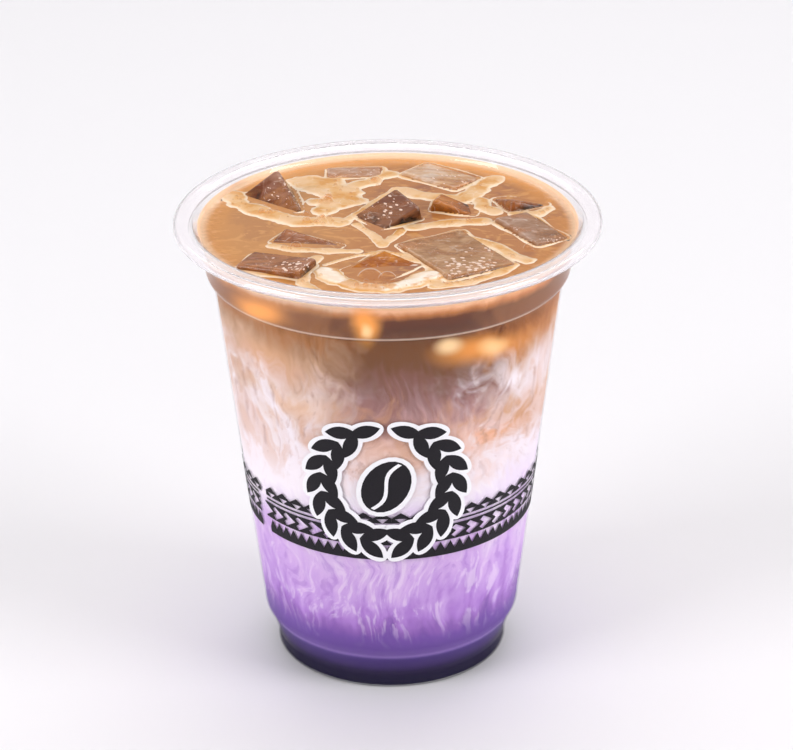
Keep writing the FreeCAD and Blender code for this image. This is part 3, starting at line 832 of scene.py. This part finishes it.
LARGE_BUBBLES = (
    # each: middle as (x, y), radius, and how many radii it is sunk into the foam
    (-4.0, -29.2, 3.2, 0.62), (-0.2, -30.6, 2.2, 0.5), (-14.3, 14.3, 2.0, 0.4),
    (-2.8, 27.2, 1.6, 0.4), (-20.7, -12.4, 1.3, 0.3), (-27.3, 7.8, 0.9, 0.3),
    (-18.6, 3.0, 1.2, 0.4), (31.5, -14.5, 1.2, 0.4),
)
foam_skin = 0.3
chance = random.Random(11)
bubbles = bmesh.new()
for x, y, size, sunk in LARGE_BUBBLES:
    middle = Vector((x, y, coffee_level + foam_skin - sunk * size)) * MM
    bmesh.ops.create_icosphere(bubbles, subdivisions=4, radius=size * MM,
                               matrix=Matrix.Translation(middle))
for middle_x, middle_y, spread, count, largest in BUBBLES:
    for _ in range(count):
        x = middle_x + chance.gauss(0.0, spread * 0.6)
        y = middle_y + chance.gauss(0.0, spread * 0.6)
        size = largest * (0.25 + 0.75 * chance.random() ** 2.5)
        if math.hypot(x, y) > foam_reach - size:
            continue
        rise = max(foam_height(x, y), 0.0) + coffee_level - 0.25 * size
        middle = Vector((x, y, rise)) * MM
        bmesh.ops.create_icosphere(bubbles, subdivisions=3 if size > 0.5 else 2,
                                   radius=size * MM, matrix=Matrix.Translation(middle))

# Coffee film: clear in front, and milky towards its rim, where light meets it edge on.
film_mat, add = material("coffee_bubble_film")
rim_share = add("MapRange", {0: add("LayerWeight", {"Blend": 0.35}, out="Facing"),
                             1: 0.4, 2: 0.9, 3: 0.03, 4: 0.9})
see_through = add("BsdfTransparent", {"Color": colour("#fbf3ea")})
skin = add("BsdfPrincipled", {"Base Color": colour("#fbead6"), "Roughness": 0.08, "IOR": 1.34})
lamps_shine_through(add("MixShader", {0: rim_share, 1: see_through, 2: skin}), "#ffffff")
piece("crema_bubbles", bubbles, film_mat)

# --------------------------------------------------------------------- the printed band
# A band of traditional pattern is screen printed in black round the cup: saw teeth on a
# bar, a row of arrows, two fine lines, and a row of peaks. It stops short at one side.
band_start, band_end = -55.6, 293.8
ink_lift, ink_film = 0.02, 0.02
teeth_low, arrows_middle, lines_low, peaks_low = 37.65, 43.72, 46.5, 47.63


def wall_radius(height):
    """Radius of the tapered body's outer skin at a height."""
    return body_inside(height) + wall


def wrap(bm, azimuth=0.0, lift=ink_lift, film=ink_film, column=1.0):
    """Give flat artwork, x across and z up, its film and bend it round the cup's wall."""
    widest = max(abs(vert.co.x) for vert in bm.verts)
    for n in range(-math.floor(widest / column), math.floor(widest / column) + 1):
        bmesh.ops.bisect_plane(bm, geom=bm.verts[:] + bm.edges[:] + bm.faces[:], dist=1e-5,
                               plane_co=(n * column, 0, 0), plane_no=(1, 0, 0))
    top = bmesh.ops.extrude_face_region(bm, geom=bm.faces[:])["geom"]
    for vert in top:
        if isinstance(vert, bmesh.types.BMVert):
            vert.co.y = film
    for vert in bm.verts:
        turn = math.radians(azimuth) + vert.co.x / wall_radius(vert.co.z)
        out = wall_radius(vert.co.z) + lift + vert.co.y
        vert.co = Vector((out * math.sin(turn), -out * math.cos(turn), vert.co.z)) * MM
    bmesh.ops.recalc_face_normals(bm, faces=bm.faces)


def shape(bm, outline, low):
    """A flat shape from its corners, (x, z) over a height."""
    bm.faces.new([bm.verts.new((x, 0.0, low + z)) for x, z in outline])


tooth = [(-1.2, 0), (1.2, 0), (1.2, 1.42), (0, 3.7), (-1.2, 1.42)]
arrow_gap = [(-2.8, 2.08), (-2.8, 1.73), (0, 0), (-2.8, -1.73), (-2.8, -2.08), (1, -2.08),
             (1, -1.73), (0.05, -0.95), (1.2, 0), (0.05, 0.95), (1, 1.73), (1, 2.08)]
line = [(-1.2, 0), (1.2, 0), (1.2, 0.45), (-1.2, 0.45)]
peak = [(-2.06, 0), (-0.06, 0), (-1.35, 1.15), (1.35, 1.15), (0.06, 0), (2.06, 0),
        (2.06, 1.3), (0, 2.75), (-2.06, 1.3)]
ROWS = (
    # outline, height it stands at, and its width and number round the cup
    (tooth, teeth_low, 2.4, 86), (arrow_gap, arrows_middle, 3.8, 55),
    (line, lines_low, 2.4, 86), (peak, peaks_low, 4.12, 50),
)
band = bmesh.new()
for outline, low, width, count in ROWS:
    pitch = (band_end - band_start) / count
    fitted = math.radians(pitch) / (width / wall_radius(low))
    row = bmesh.new()
    shape(row, [(x * fitted, z) for x, z in outline], low)
    wrap(row, azimuth=band_start + pitch / 2)
    bmesh.ops.spin(row, geom=row.verts[:] + row.edges[:] + row.faces[:], cent=(0, 0, 0),
                   axis=(0, 0, 1), angle=math.radians(pitch * count), steps=count,
                   use_duplicate=True)
    part = bpy.data.meshes.new("row")
    row.to_mesh(part)
    band.from_mesh(part)
    row.free()

# Black screen ink: nearly matt, and uneven in its cover at about 0.3 mm.
black_ink, add = material("black_screen_ink")
spot = place_in_mm()
wear = add("TexNoise", {0: spot, "Scale": 3.0, "Detail": 4.0})
shade = add("Mix", {0: wear, 6: colour("#17151a"), 7: colour("#242127")}, out=2, data_type="RGBA")
surface = add("BsdfPrincipled", {"Base Color": shade, "Roughness": 0.6, "Specular IOR Level": 0.2})
add("OutputMaterial", {"Surface": surface})
piece("printed_band", band, black_ink)

# ------------------------------------------------------------------------- the emblem
# A plain emblem is printed over the band at the front: two leafy branches round a
# coffee bean, in black on a white under-print that shows as an edge all round.
emblem_azimuth, emblem_middle, wreath_radius = -1.5, 57.5, 15.2
leaf_length, leaf_width, white_edge = 7.4, 3.3, 1.15
leaves_a_side = 8
branch_foot, branch_sweep = -78.0, 150.0    # degrees round the wreath, from its right side
leaf_splay, leaf_offset = 32.0, 1.9
bean_length, bean_width, bean_lean = 14.5, 10.5, 28.0
crease_swing, crease_half, crease_steps = 1.1, 0.45, 12
print_step = 0.03       # each print lies this much further out than the one below it


def leaf(bm, x, z, lean, length, width, pointed):
    """A flat leaf, its middle at (x, z); a pointed one is drawn in at both ends."""
    made = bmesh.ops.create_circle(bm, cap_ends=True, segments=24, radius=1.0,
                                   matrix=Matrix.Rotation(math.radians(90), 4, "X"))["verts"]
    for vert in made:
        across = vert.co.z * (abs(vert.co.z) if pointed else 1.0)
        vert.co = Vector((vert.co.x * length / 2, 0.0, across * width / 2))
    turn = Matrix.Rotation(-math.radians(lean), 4, "Y")
    bmesh.ops.transform(bm, verts=made, matrix=Matrix.Translation((x, 0.0, z)) @ turn)


white_art, black_art, crease_art = bmesh.new(), bmesh.new(), bmesh.new()
for side in (-1, 1):
    for n in range(leaves_a_side + 1):
        # Leaves grow in pairs along the branch, with a single one at its tip. The white
        # ones are plain ovals, wide enough to show all round the pointed black ones.
        turn = math.radians(branch_foot + n * branch_sweep / leaves_a_side)
        for row in (-1, 1) if n < leaves_a_side else (0,):
            lean = math.degrees(turn) + 90.0 + row * leaf_splay
            lean = lean if side > 0 else 180.0 - lean
            far = wreath_radius + row * leaf_offset
            x, z = side * far * math.cos(turn), emblem_middle + far * math.sin(turn)
            leaf(black_art, x, z, lean, leaf_length, leaf_width, True)
            leaf(white_art, x, z, lean, leaf_length + 1.4 * white_edge,
                 leaf_width + 1.6 * white_edge, False)
bean = 0.0, emblem_middle, 90.0 - bean_lean
leaf(white_art, *bean, bean_length + 2 * white_edge, bean_width + 2 * white_edge, False)
leaf(black_art, *bean, bean_length, bean_width, False)
left_edge, right_edge = [], []
for n in range(crease_steps + 1):
    share = n / crease_steps
    x = math.sin(share * 2 * math.pi) * crease_swing
    z = (share - 0.5) * (bean_length - 1.0)
    left_edge.append((x - crease_half, z))
    right_edge.append((x + crease_half, z))
shape(crease_art, left_edge + right_edge[::-1], 0.0)
lean_over = Matrix.Rotation(math.radians(bean_lean), 4, "Y")
bmesh.ops.transform(crease_art, verts=crease_art.verts,
                    matrix=Matrix.Translation((0, 0, emblem_middle)) @ lean_over)
wrap(white_art, emblem_azimuth, lift=ink_lift + print_step)
wrap(black_art, emblem_azimuth, lift=ink_lift + 2 * print_step)
wrap(crease_art, emblem_azimuth, lift=ink_lift + 3 * print_step)

# White screen ink: opaque, satin, and uneven in its cover at about 0.5 mm.
white_ink, add = material("white_screen_ink")
spot = place_in_mm()
wear = add("TexNoise", {0: spot, "Scale": 2.0, "Detail": 3.0})
shade = add("Mix", {0: wear, 6: colour("#eeecf2"), 7: colour("#f8f7fa")}, out=2, data_type="RGBA")
surface = add("BsdfPrincipled", {"Base Color": shade, "Roughness": 0.35})
add("OutputMaterial", {"Surface": surface})
piece("emblem_under_print", white_art, white_ink)
piece("emblem_branches_and_bean", black_art, black_ink)
piece("emblem_bean_crease", crease_art, white_ink)
